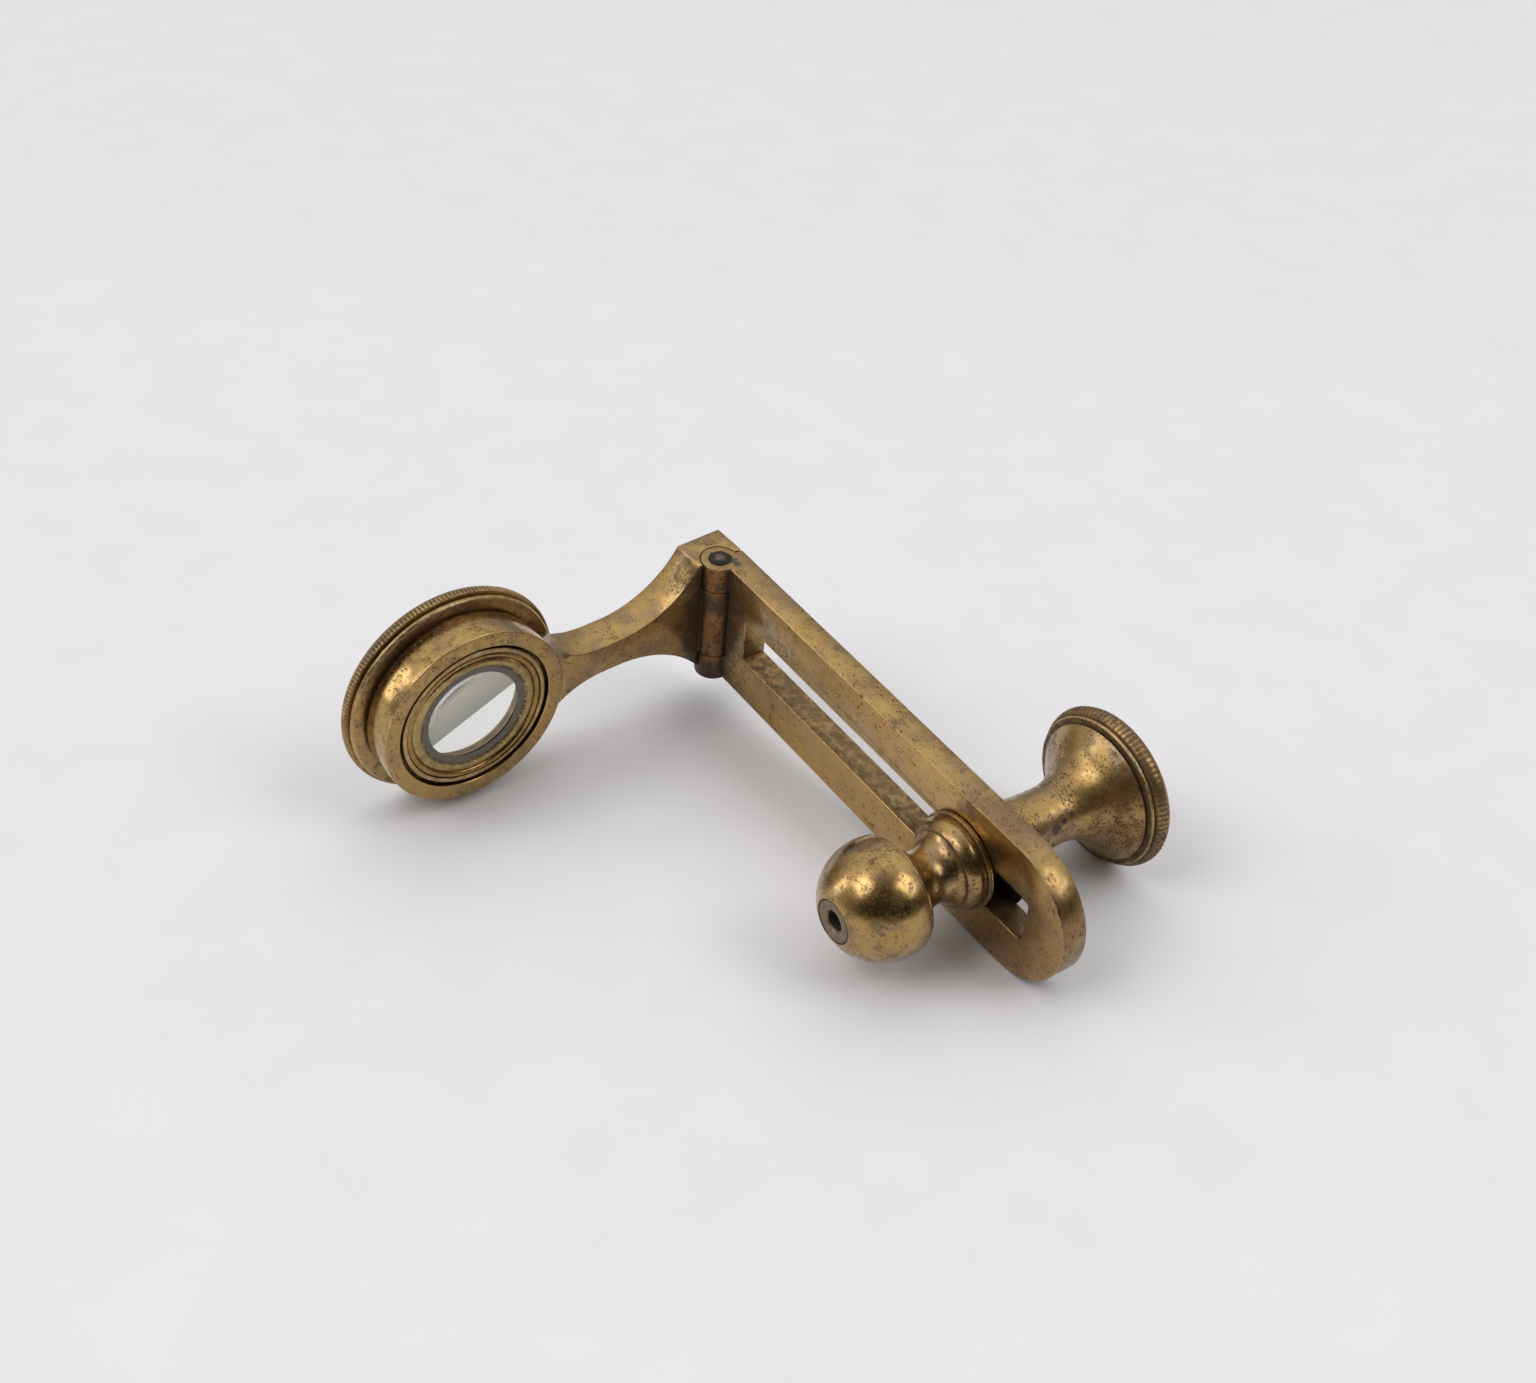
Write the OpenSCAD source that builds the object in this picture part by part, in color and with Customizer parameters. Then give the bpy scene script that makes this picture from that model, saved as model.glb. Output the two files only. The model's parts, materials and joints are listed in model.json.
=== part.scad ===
// A folding hand microscope, in millimetres. A hinged arm carries the lens beside a slotted bar,
// and a holder for a needle slides along the bar's slot to focus and turns to show the specimen.
//
// Every module but placed() measures from the hinge: the hinge pin stands along Z through the
// origin, the bar runs along +X with its front face at y = 0, and the arm points along -Y.

/* [Slotted bar] */
// Width of the bar, which is also the length of the hinge
bar_w = 16; // [14:0.5:20]
// Thickness of the bar
bar_t = 3; // [2.6:0.1:4]
// Hinge pin to the tip of the round end
bar_len = 59; // [58:0.5:80]
// Width of the slot
slot_w = 5.4; // [5:0.1:6.4]
// Hinge pin to the near end of the slot
slot_start = 5.6; // [4:0.1:9]
// Hinge pin to the far end of the slot
slot_end = 53.6; // [50:0.1:54.5]
// Corner radius at the far end of the slot
slot_corner = 0.7; // [0.3:0.1:1]

/* [Hinge] */
// Radius of the hinge knuckles
knuckle_r = 2.1; // [1.8:0.05:2.5]
// Length of each of the bar's two outer knuckles
outer_knuckle = 3.3; // [2.5:0.1:4.5]
// Radius of the hinge pin
pin_r = 0.8; // [0.6:0.05:1.2]
// Radius of the pin's riveted end
rivet_r = 1.25; // [1.2:0.05:1.6]
// Depth of the countersink that the pin is riveted into
rivet_depth = 0.45; // [0.3:0.05:0.8]
// Height that the riveted end stands proud
rivet_dome = 0.15; // [0.05:0.05:0.3]
// Angle by which the arm is closed from square, in degrees
arm_swing = 2.6; // [0:0.1:8]

/* [Lens arm] */
// Thickness of the arm
arm_t = 4.2; // [3.6:0.1:5]
// Hinge pin to the centre of the lens
arm_len = 31.2; // [30.4:0.1:33]
// Width of the arm at its waist
waist_w = 3.6; // [3:0.1:6]
// Height of the waist above the middle of the hinge
waist_rise = 0.35; // [0:0.05:0.6]
// Hinge pin to the start of the waist
waist_start = 13.2; // [12.6:0.1:15]
// Radius of the hollow curve between the hinge block and the waist
shoulder_r = 12.5; // [10:0.5:14]
// Radius of the same curve on the arm's lower edge
lower_shoulder_r = 14; // [11:0.5:16]
// Radius of the hollow curve between the waist and the ring
ring_flare_r = 10; // [9:0.5:14]
// Length of that curve up to the edge of the ring
ring_flare_len = 5.2; // [4.8:0.1:5.6]

/* [Lens ring] */
// Outer radius of the ring
ring_r = 10.75; // [10.2:0.05:11.2]
// Radius of the threaded bore
ring_bore_r = 9; // [8.8:0.05:9.4]
// Depth of the ring along the lens axis
ring_depth = 3.8; // [3.4:0.1:4.1]

/* [Lens cell] */
// Radius over the milled edge
flange_r = 12.65; // [12.3:0.05:14]
// Width of the milled edge
milled_w = 0.9; // [0.6:0.1:1.6]
// Radius of the bead in front of the milled edge
bead_r = 12.2; // [11.6:0.05:12.3]
// Width of the bead
bead_w = 0.75; // [0.6:0.05:1.2]
// Radius of the dark groove between the ring and the bead
groove_r = 10.3; // [9.6:0.05:10.6]
// Thickness of the rounded back edge
back_edge = 0.5; // [0.3:0.1:1]
// Depth of the dish on the eye side
dish_depth = 2.2; // [1:0.1:2.8]
// Radius of the dish at the back face
dish_r = 10.6; // [9:0.1:11.2]
// Outer radius of the cell's nose, which shows in the ring's bore
nose_r = 8.6; // [8.4:0.05:8.7]
// Length of that nose
nose_len = 1; // [0.6:0.1:1.6]

/* [Lens] */
// Radius of the lens
lens_r = 7.3; // [6.8:0.05:7.4]
// Thickness of the lens at its edge
lens_edge = 1.2; // [0.8:0.1:1.6]
// Radius of curvature of both faces
lens_curve = 28; // [24:1:60]
// Ring's front face to the front edge of the lens
lens_depth = 1.05; // [1.05:0.05:1.4]
// Radius of the retaining ring's thread
retainer_r = 8.1; // [7.9:0.05:8.2]
// Radius of the clear opening in front of the lens
front_opening = 5.4; // [5:0.05:6]
// Radius of the rounded lip on the retaining ring
retainer_lip = 0.36; // [0.3:0.02:0.45]
// Radius of the clear opening behind the lens
eye_opening = 6; // [5:0.05:6.5]

/* [Needle holder] */
// Hinge pin to the axis of the holder, as it stands in the slot
holder_x = 43.7; // [40:0.1:48]
// Radius of the ball
ball_r = 6.3; // [6:0.05:7]
// Bar to the centre of the ball
ball_reach = 10; // [9.8:0.05:11]
// Flat that is turned on the tip of the ball
ball_flat = 0.5; // [0.4:0.05:0.8]
// Radius of the thin disc that slides on the bar
collar_r = 5.3; // [4.8:0.05:6]
// Thickness of that disc
collar_t = 0.45; // [0.3:0.05:0.6]
// Radius of the rounded moulding on the disc
moulding_r = 5; // [4.6:0.05:5.2]
// Height of that moulding
moulding_h = 2; // [1.6:0.1:2.2]
// Radius of the moulding's curve
moulding_curve = 2.2; // [2:0.1:2.4]
// Disc to the widest part of the moulding
moulding_crest = 0.35; // [0.2:0.05:0.5]
// Radius of the neck behind the ball
neck_r = 3.05; // [2.6:0.05:3.4]
// Moulding to the narrowest part of the neck
neck_front = 2.05; // [1.9:0.05:2.3]
// Radius of the hollow on the moulding's side of the neck
moulding_hollow = 2.4; // [2.35:0.05:2.8]
// Radius of the hollow on the ball's side of the neck
neck_hollow = 3.3; // [3.3:0.05:3.8]
// Narrowest part of the neck to the lip behind the ball
neck_back = 3.2; // [3:0.05:3.28]
// Radius of the lip behind the ball
lip_r = 6.05; // [5.8:0.05:6.1]
// Width and depth of the small step beside the moulding
quirk = 0.15; // [0.1:0.05:0.2]
// Radius to which the lip is rounded
lip_t = 0.9; // [0.7:0.05:1]
// Radius of the needle hole
needle_r = 1.1; // [0.5:0.05:1.5]
// Radius of the bush in the ball
bush_r = 2.4; // [2:0.05:3]
// Length of the bush
bush_len = 8; // [5:0.5:9]

/* [Spindle and knob] */
// Radius of the stem that passes through the slot
stem_r = 1.8; // [1.4:0.05:1.9]
// Length of stem inside the knob
stem_grip = 8; // [5:0.5:10]
// Length of the block that slides in the slot
block_len = 5.3; // [4.8:0.1:6]
// Radius of the spring washer
washer_r = 6.5; // [4.5:0.1:6.8]
// Thickness of the spring washer
washer_t = 0.4; // [0.3:0.05:0.6]
// Radius of the knob's foot on the washer
foot_r = 4.2; // [4:0.05:4.6]
// Bar's back to the narrowest part of the knob
knob_waist_y = 8.6; // [8:0.1:9.4]
// Radius of the narrowest part of the knob
knob_waist_r = 3.2; // [3:0.05:3.5]
// Radius of the hollow curve of the bell
bell_curve = 6.2; // [5.8:0.1:7]
// Length of that curve along the knob
bell_curve_len = 5; // [4:0.1:5.4]
// Length of the straight flare beyond it
flare_len = 1.5; // [1:0.05:2.2]
// Radius of the bell at the end of the flare
bell_r = 7.6; // [7.5:0.05:7.8]
// Radius of the groove between the bell and the rim
rim_groove_r = 7.2; // [6.8:0.05:7.4]
// Width of that groove
rim_groove_w = 0.2; // [0.2:0.05:0.5]
// Radius of the bead on the rim
rim_bead_r = 8.3; // [8.1:0.05:8.5]
// Width of that bead
rim_bead_w = 0.5; // [0.4:0.05:0.8]
// Radius over the knob's milled edge
knob_r = 8.9; // [8.7:0.05:9.6]
// Width of the knob's milled edge
knob_milled_w = 1.4; // [0.8:0.05:1.8]
// Thickness of the knob's end beyond the milled edge
knob_end_t = 0.45; // [0.3:0.05:0.8]
// Radius of the dish turned in the knob's end
knob_dish_r = 7.2; // [6:0.1:7.6]
// Depth of that dish
knob_dish_depth = 1.2; // [0.6:0.1:1.8]

/* [Milling and fits] */
// Pitch of the milling on the lens cell
cell_pitch = 0.45; // [0.35:0.01:0.8]
// Pitch of the milling on the knob
knob_pitch = 0.58; // [0.45:0.01:1]
// Depth of the milling
milling_depth = 0.16; // [0.08:0.01:0.3]
// Step from the roots of the milling down to the smooth edge behind it
edge_step = 0.04; // [0.02:0.01:0.1]
// Radial clearance of turning and sliding fits
running = 0.05; // [0.03:0.01:0.1]
// Gap between faces that slide past each other
face_gap = 0.1; // [0.05:0.01:0.2]

/* [Hidden] */
$fn = 96;

brass = "#a88a4e";
pale_brass = "#bda35f";
dark_brass = "#86693a";
steel = "#5f564c";
glass = "#c9d6cf";

// A little more than nothing, by which cuts overrun the faces they pass through
overrun = 0.5;
half_w = bar_w / 2;
tip_centre = bar_len - half_w;
middle_knuckle = bar_w - 2 * (outer_knuckle + face_gap);

// Depths in the lens cell, from the ring's front face towards the eye
flange_front = ring_depth + face_gap;
bead_front = arm_t + face_gap;
milled_front = bead_front + bead_w;
milled_back = milled_front + milled_w;
cell_depth = milled_back + back_edge;
back_r = flange_r - milling_depth - edge_step - back_edge;
lens_back = lens_depth + lens_edge;
nose_front = 0.15;

// Heights on the holder's axis, where the bar lies between 0 and bar_t
moulding_front = -face_gap - collar_t - moulding_h;
neck_y = moulding_front - neck_front;
lip_back = neck_y - neck_back;
ball_back = lip_back - lip_t;
ball_front = -ball_reach - ball_r + ball_flat;
mouth = 0.2;
knob_foot = bar_t + washer_t + 2 * face_gap;
knob_waist = bar_t + knob_waist_y;
flare_start = knob_waist + bell_curve_len;
flare_end = flare_start + flare_len;
rim_front = flare_end + rim_groove_w;
knob_milled_front = rim_front + rim_bead_w;
knob_milled_back = knob_milled_front + knob_milled_w;
knob_end = knob_milled_back + knob_end_t;
knob_face_r = knob_r - milling_depth - edge_step - knob_end_t;
flare_start_r = knob_waist_r + bell_curve - sqrt(bell_curve ^ 2 - bell_curve_len ^ 2);

// The box round the whole instrument, whose bottom centre is the origin of the placed part
box_left = -(face_gap + cell_depth) * cos(arm_swing) + (arm_len - back_r) * sin(arm_swing);
box_near = -(face_gap + milled_back) * sin(arm_swing) - (arm_len + flange_r) * cos(arm_swing);
centre = [(bar_len + box_left) / 2, (knob_end + box_near) / 2, -flange_r];

// Moves a piece from the hinge's frame to the frame of the finished part
module placed() translate(-centre) children();

// Turns a piece that is drawn on the square arm to the angle at which the arm stands
module on_arm() placed() rotate([0, 0, arm_swing]) children();

// Puts a turned piece on the lens axis, with z = 0 at the ring's front face and +z towards the eye
module on_lens_axis() on_arm() translate([-face_gap, -arm_len, 0]) rotate([0, -90, 0]) children();

// Puts a turned piece on the holder's axis, with z = 0 at the bar's front and +z towards the knob
module on_holder_axis() placed() translate([holder_x, 0, 0]) rotate([-90, 0, 0]) children();

// A flat shape drawn in X and Z, as thick as the bar
module bar_plate(extra = 0)
    translate([0, bar_t + extra, 0]) rotate([90, 0, 0]) linear_extrude(bar_t + 2 * extra) children();

// A disc with a milled edge, whose teeth are the pitch apart
module milled_disc(r, h, pitch) {
    teeth = floor(2 * PI * r / pitch);
    linear_extrude(h)
        polygon([for (i = [0:2 * teeth - 1])
            let (a = 180 * i / teeth, q = i % 2 == 0 ? r : r - milling_depth) [q * cos(a), q * sin(a)]]);
}

// A ring of rectangular section, drawn as half a profile
module band(inner, outer, low, high) translate([inner, low]) square([outer - inner, high - low]);

// Half section of a turned bead, whose full round is a little wider than the bead
module bead(r, w, low) {
    round_r = 0.55 * w;
    band(0, r - round_r, low, low + w);
    intersection() {
        translate([r - round_r, low + w / 2]) circle(round_r, $fn = 32);
        band(0, r, low, low + w);
    }
}

// Half section of a disc's end, whose edge is rounded to the full thickness
module rounded_end(r, t, low) {
    band(0, r - t, low, low + t);
    intersection() {
        translate([r - t, low]) circle(t, $fn = 32);
        band(0, r, low, low + t);
    }
}

// The slot: square at the hinge, with rounded corners at the far end
module slot_shape() {
    inner_h = slot_w - 2 * slot_corner;
    translate([slot_start, -slot_w / 2]) square([slot_end - slot_corner - slot_start, slot_w]);
    translate([slot_start, -inner_h / 2]) square([slot_end - slot_start, inner_h]);
    for (side = [-1, 1])
        translate([slot_end - slot_corner, side * inner_h / 2]) circle(slot_corner, $fn = 32);
}

module bar_outline() {
    translate([0, -half_w]) square([tip_centre, bar_w]);
    translate([tip_centre, 0]) circle(half_w);
}

module slotted_bar() {
    color(brass) placed() difference() {
        union() {
            bar_plate() bar_outline();
            for (low = [-half_w, half_w - outer_knuckle])
                translate([0, 0, low]) cylinder(r = knuckle_r, h = outer_knuckle);
        }
        bar_plate(overrun) slot_shape();
        translate([0, 0, outer_knuckle - half_w])
            cylinder(r = knuckle_r + face_gap, h = bar_w - 2 * outer_knuckle);
        translate([0, 0, -half_w - overrun]) cylinder(r = pin_r, h = bar_w + 2 * overrun);
        for (end = [0, 1]) mirror([0, 0, end])
            translate([0, 0, half_w - rivet_depth]) cylinder(r1 = pin_r, r2 = rivet_r, h = rivet_depth);
    }
}

// A plain pin, riveted over into the countersinks of the outer knuckles
module hinge_pin() {
    color(steel) placed() {
        translate([0, 0, -half_w]) cylinder(r = pin_r, h = bar_w);
        for (end = [0, 1]) mirror([0, 0, end]) translate([0, 0, half_w]) {
            translate([0, 0, -rivet_depth]) cylinder(r1 = pin_r, r2 = rivet_r, h = rivet_depth);
            cylinder(r1 = rivet_r, r2 = rivet_r - rivet_dome, h = rivet_dome);
        }
    }
}

// The arm's outline, with its length from the hinge along X and its width along Y
module arm_outline() {
    flare_start_x = arm_len - ring_r - ring_flare_len;
    into_ring = 2;
    difference() {
        translate([-bar_t, -half_w]) square([bar_t + waist_start, bar_w]);
        translate([waist_start, waist_rise + waist_w / 2 + shoulder_r]) circle(shoulder_r);
        translate([waist_start, waist_rise - waist_w / 2 - lower_shoulder_r]) circle(lower_shoulder_r);
    }
    translate([waist_start, waist_rise - waist_w / 2]) square([flare_start_x - waist_start, waist_w]);
    difference() {
        translate([flare_start_x, waist_rise - half_w]) square([ring_flare_len + into_ring, bar_w]);
        for (side = [-1, 1])
            translate([flare_start_x, waist_rise + side * (waist_w / 2 + ring_flare_r)]) circle(ring_flare_r);
    }
}

// The arm is filed from plate, hollowed round the bar's knuckles and butted to the ring
module lens_arm() {
    color(brass) on_arm() difference() {
        union() {
            translate([-face_gap, 0, 0]) rotate([90, 0, -90]) linear_extrude(arm_t) arm_outline();
            translate([0, 0, -middle_knuckle / 2]) cylinder(r = knuckle_r, h = middle_knuckle);
        }
        for (end = [0, 1]) mirror([0, 0, end])
            translate([0, 0, middle_knuckle / 2])
                cylinder(r = knuckle_r + face_gap, h = outer_knuckle + face_gap + overrun);
        translate([0, 0, -half_w]) cylinder(r = pin_r + running, h = bar_w);
        translate([overrun, -arm_len, 0]) rotate([0, -90, 0])
            cylinder(r = ring_r, h = arm_t + 2 * overrun);
    }
}

module lens_ring() {
    color(pale_brass) on_lens_axis() difference() {
        cylinder(r = ring_r, h = ring_depth);
        translate([0, 0, -overrun]) cylinder(r = ring_bore_r, h = ring_depth + 2 * overrun);
    }
}

// Height of the lens's curved face at the radius r, measured from its edge towards its middle
function lens_rise(r) = sqrt(lens_curve ^ 2 - r ^ 2) - sqrt(lens_curve ^ 2 - lens_r ^ 2);

// Half section of the lens cell, without its milled teeth; the glass rests on the edge of the eye opening
module cell_profile() {
    shoulder = lens_back + lens_rise(eye_opening) + running;
    difference() {
        union() {
            band(eye_opening, nose_r, nose_front, nose_len);
            band(eye_opening, ring_bore_r - running, nose_len, flange_front);
            band(eye_opening, groove_r, flange_front, bead_front);
            bead(bead_r, bead_w, bead_front);
            band(eye_opening, back_r, milled_front, milled_back);
            rounded_end(back_r + back_edge, back_edge, milled_back);
        }
        band(0, eye_opening, nose_front, cell_depth);
        band(0, retainer_r, nose_front - overrun, lens_depth);
        band(0, lens_r + running, lens_depth - overrun, shoulder);
        polygon([[0, cell_depth - dish_depth], [eye_opening, cell_depth - dish_depth],
                 [dish_r, cell_depth], [dish_r, cell_depth + overrun], [0, cell_depth + overrun]]);
    }
}

module lens_cell() {
    color(dark_brass) on_lens_axis() {
        rotate_extrude() cell_profile();
        translate([0, 0, milled_front]) difference() {
            milled_disc(flange_r, milled_w, cell_pitch);
            translate([0, 0, -overrun]) cylinder(r = back_r - overrun, h = milled_w + 2 * overrun);
        }
    }
}

// The ring that screws in from the front: a rounded lip, then a bevel down to the glass
module retaining_ring() {
    glass_edge = lens_depth - lens_rise(front_opening) - running;
    inner_edge = 0.2;
    bevel_top = nose_front + retainer_lip / 2;
    color(pale_brass) on_lens_axis() rotate_extrude() {
        polygon([[front_opening, glass_edge], [front_opening, glass_edge - inner_edge],
                 [retainer_r - 2 * retainer_lip, bevel_top], [retainer_r, bevel_top],
                 [retainer_r, lens_depth - running], [lens_r, lens_depth - running]]);
        translate([retainer_r - retainer_lip, nose_front + retainer_lip]) circle(retainer_lip, $fn = 32);
    }
}

// A lens that is equally curved on both faces
module eye_lens() {
    middle_rise = lens_rise(0);
    color(glass, 0.4) on_lens_axis() intersection() {
        translate([0, 0, lens_depth - middle_rise]) cylinder(r = lens_r, h = lens_edge + 2 * middle_rise);
        translate([0, 0, lens_depth - middle_rise + lens_curve]) sphere(lens_curve, $fn = 360);
        translate([0, 0, lens_back + middle_rise - lens_curve]) sphere(lens_curve, $fn = 360);
    }
}

// The block that keeps the stem upright in the slot, with its corners eased
module slide_block() {
    block_w = slot_w - 2 * running;
    corner_relief = 0.35;
    corner_r = sqrt(block_len ^ 2 + block_w ^ 2) / 2 - corner_relief;
    color(dark_brass) on_holder_axis() difference() {
        intersection() {
            translate([-block_len / 2, -block_w / 2, 0]) cube([block_len, block_w, bar_t]);
            cylinder(r = corner_r, h = bar_t);
        }
        translate([0, 0, -overrun]) cylinder(r = stem_r + running, h = bar_t + 2 * overrun);
    }
}

// A dished washer, whose outer edge bears on the bar and inner edge on the knob
module spring_washer() {
    sheet = washer_t * 0.6;
    low = bar_t + face_gap;
    high = low + washer_t;
    color(steel) on_holder_axis() rotate_extrude()
        polygon([[stem_r + running, high - sheet], [stem_r + running, high],
                 [washer_r, low + sheet], [washer_r, low]]);
}

// Half section of the disc, moulding, neck and lip that join the ball to its stem
module neck_profile() {
    disc_front = -face_gap - collar_t;
    quirk_r = moulding_r - moulding_curve
        + sqrt(moulding_curve ^ 2 - (moulding_h - moulding_crest) ^ 2) - quirk;
    band(0, collar_r, disc_front, -face_gap);
    intersection() {
        translate([moulding_r - moulding_curve, disc_front - moulding_crest]) circle(moulding_curve);
        band(0, moulding_r, moulding_front, disc_front);
    }
    band(0, moulding_r - moulding_curve, moulding_front, disc_front);
    difference() {
        band(0, quirk_r, neck_y, moulding_front);
        translate([neck_r + moulding_hollow, neck_y]) circle(moulding_hollow);
    }
    difference() {
        band(0, lip_r - lip_t, lip_back, neck_y);
        translate([neck_r + neck_hollow, neck_y]) circle(neck_hollow);
    }
    rounded_end(lip_r, lip_t, ball_back);
}

module ball_socket() {
    color(brass) on_holder_axis() difference() {
        union() {
            intersection() {
                translate([0, 0, -ball_reach]) sphere(ball_r);
                translate([0, 0, ball_front]) cylinder(r = ball_r + overrun, h = ball_back - ball_front);
            }
            rotate_extrude() neck_profile();
            translate([0, 0, moulding_front])
                cylinder(r = stem_r, h = knob_foot + stem_grip - moulding_front);
        }
        translate([0, 0, ball_front - overrun]) cylinder(r = bush_r, h = bush_len + overrun);
    }
}

// The hard bush that takes the stem of a needle or of forceps
module needle_bush() {
    color(steel) on_holder_axis() translate([0, 0, ball_front]) difference() {
        cylinder(r = bush_r, h = bush_len);
        translate([0, 0, -overrun]) cylinder(r = needle_r, h = bush_len + 2 * overrun);
        translate([0, 0, -mouth]) cylinder(r1 = needle_r + 2 * mouth, r2 = needle_r, h = 2 * mouth);
    }
}

// Half section of the knob, without its milled teeth
module knob_profile() {
    foot_step = foot_r - knob_waist_r;
    foot_h = knob_waist - knob_foot;
    foot_curve = (foot_h ^ 2 + foot_step ^ 2) / (2 * foot_step);
    difference() {
        band(0, foot_r, knob_foot, knob_waist);
        translate([knob_waist_r + foot_curve, knob_waist]) circle(foot_curve);
    }
    difference() {
        band(0, flare_start_r, knob_waist, flare_start);
        translate([knob_waist_r + bell_curve, knob_waist]) circle(bell_curve);
    }
    polygon([[0, flare_start], [flare_start_r, flare_start], [bell_r, flare_end], [0, flare_end]]);
    band(0, rim_groove_r, flare_end, rim_front);
    bead(rim_bead_r, rim_bead_w, rim_front);
    band(0, knob_face_r, knob_milled_front, knob_milled_back);
    rounded_end(knob_face_r + knob_end_t, knob_end_t, knob_milled_back);
}

module milled_knob() {
    dish_curve = (knob_dish_r ^ 2 + knob_dish_depth ^ 2) / (2 * knob_dish_depth);
    color(brass) on_holder_axis() difference() {
        union() {
            rotate_extrude() knob_profile();
            translate([0, 0, knob_milled_front]) milled_disc(knob_r, knob_milled_w, knob_pitch);
        }
        translate([0, 0, knob_foot - overrun]) cylinder(r = stem_r, h = stem_grip + overrun);
        translate([0, 0, knob_end - knob_dish_depth + dish_curve]) sphere(dish_curve);
    }
}

slotted_bar();
hinge_pin();
lens_arm();
lens_ring();
lens_cell();
retaining_ring();
eye_lens();
slide_block();
spring_washer();
ball_socket();
needle_bush();
milled_knob();
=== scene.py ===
# %% [markdown]
# A folding hand microscope of brass, as a naturalist carried one in the pocket. The arm holds the lens, the
# needle holder slides nearer or farther along the flat bar, and its knob turns the specimen on the needle.
# This notebook dresses the measured solids: it adds rounded edges, milling, tarnish and light, and leaves
# every size as the drawing has it. The first cell loads the solids, which move on named bodies.

import json
import math

import bmesh
import bpy
from mathutils import Matrix, Vector


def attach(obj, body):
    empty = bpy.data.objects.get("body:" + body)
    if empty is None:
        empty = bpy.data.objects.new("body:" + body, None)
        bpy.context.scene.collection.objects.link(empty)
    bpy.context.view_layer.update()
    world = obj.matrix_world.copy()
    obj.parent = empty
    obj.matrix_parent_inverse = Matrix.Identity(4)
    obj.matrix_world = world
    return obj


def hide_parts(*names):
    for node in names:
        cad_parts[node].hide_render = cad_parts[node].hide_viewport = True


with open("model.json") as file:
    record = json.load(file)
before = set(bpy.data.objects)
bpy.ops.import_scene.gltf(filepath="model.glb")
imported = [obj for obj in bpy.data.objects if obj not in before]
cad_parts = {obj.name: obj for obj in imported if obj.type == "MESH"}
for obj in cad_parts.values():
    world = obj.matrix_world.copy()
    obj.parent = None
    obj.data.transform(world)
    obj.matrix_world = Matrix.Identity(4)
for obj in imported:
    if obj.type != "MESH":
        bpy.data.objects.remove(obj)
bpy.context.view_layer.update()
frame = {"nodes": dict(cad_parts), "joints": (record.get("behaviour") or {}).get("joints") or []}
solids = frame["nodes"]

# %% [markdown]
# Lengths below are in millimetres, as on the maker's drawing, and become metres in the last transform of
# each piece. Three axes carry everything: the hinge stands upright, the lens looks along its own axis, and
# the holder crosses the bar at a right angle. Each is a matrix, so that a piece can be turned on an
# imaginary lathe along Z and then sent to its place. The places come from the joints that the solids were
# packed with, so nothing is fitted by eye.

# %% Axes of the hinge, the lens and the holder
MM = 0.001
QUARTER_TURN = math.pi / 2
joints = {joint["name"]: joint for joint in frame["joints"]}
hinge_place = Vector(joints["arm_fold"]["pos_m"])
lens_place = Vector(joints["cell_turn"]["pos_m"])
holder_place = Vector(joints["holder_turn"]["pos_m"])
lens_line = joints["cell_turn"]["axis"]
arm_turn = math.atan2(lens_line[1], lens_line[0])

bar_axes = Matrix.Translation(hinge_place)
arm_axes = bar_axes @ Matrix.Rotation(arm_turn, 4, "Z")
lens_upright = Matrix.Translation(lens_place) @ Matrix.Rotation(arm_turn, 4, "Z")
lens_axes = lens_upright @ Matrix.Rotation(-QUARTER_TURN, 4, "Y")
holder_axes = Matrix.Translation(holder_place) @ Matrix.Rotation(-QUARTER_TURN, 4, "X")
print("the arm stands", round(math.degrees(arm_turn), 2), "degrees closed from square")

# %% [markdown]
# The camera comes first, because it decides how much detail each piece needs. The photograph was taken from
# above on the right, with the table filling the frame. A camera could be aimed by eye, but the bar, the
# ring, the knob and the ball are all of known size, so its place was worked out from their outlines.

# %% Camera at the photograph's place
scene = bpy.context.scene
scene.view_settings.view_transform = "Standard"
eye_from_hinge = Vector((133.5696, -98.6996, 139.35))
look = Vector((-0.57771862, 0.46420451, -0.67138318))
camera_roll = math.radians(5.5767)
eye = hinge_place + eye_from_hinge * MM

camera_data = bpy.data.cameras.new("studio_camera")
camera_data.sensor_width = 36
camera_data.lens = 44.97
camera_data.clip_start = 0.01
camera = bpy.data.objects.new("studio_camera", camera_data)
scene.collection.objects.link(camera)
aim = look.to_track_quat("-Z", "Y").to_matrix().to_4x4()
camera.matrix_world = Matrix.Translation(eye) @ aim @ Matrix.Rotation(camera_roll, 4, "Z")
scene.camera = camera
print("camera", round(eye_from_hinge.length), "mm from the hinge")

# %% [markdown]
# The instrument doesn't lie level. It rests on the milled edge of the lens cell, on the lower edge of the
# bar near its round end and on the rim of the knob. Three points make a plane, so the table is laid through
# these three, and the instrument neither floats nor sinks.

# %% Table through the three resting points
cell_rest = lens_axes @ (Vector((-12.63, 0, 5.2)) * MM)
bar_rest = bar_axes @ (Vector((51.73, 0.1, -7.97)) * MM)
knob_rest = holder_axes @ (Vector((0.81, 8.87, 19.3)) * MM)
table_up = (bar_rest - cell_rest).cross(knob_rest - cell_rest).normalized()
table_turn = Vector((0, 0, 1)).rotation_difference(table_up).to_matrix().to_4x4()
table_place = Vector((0, 0, cell_rest.dot(table_up) / table_up.z))
print("the bar rises", round(math.degrees(math.atan(-table_up.x / table_up.z)), 2), "degrees over its length")

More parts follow.
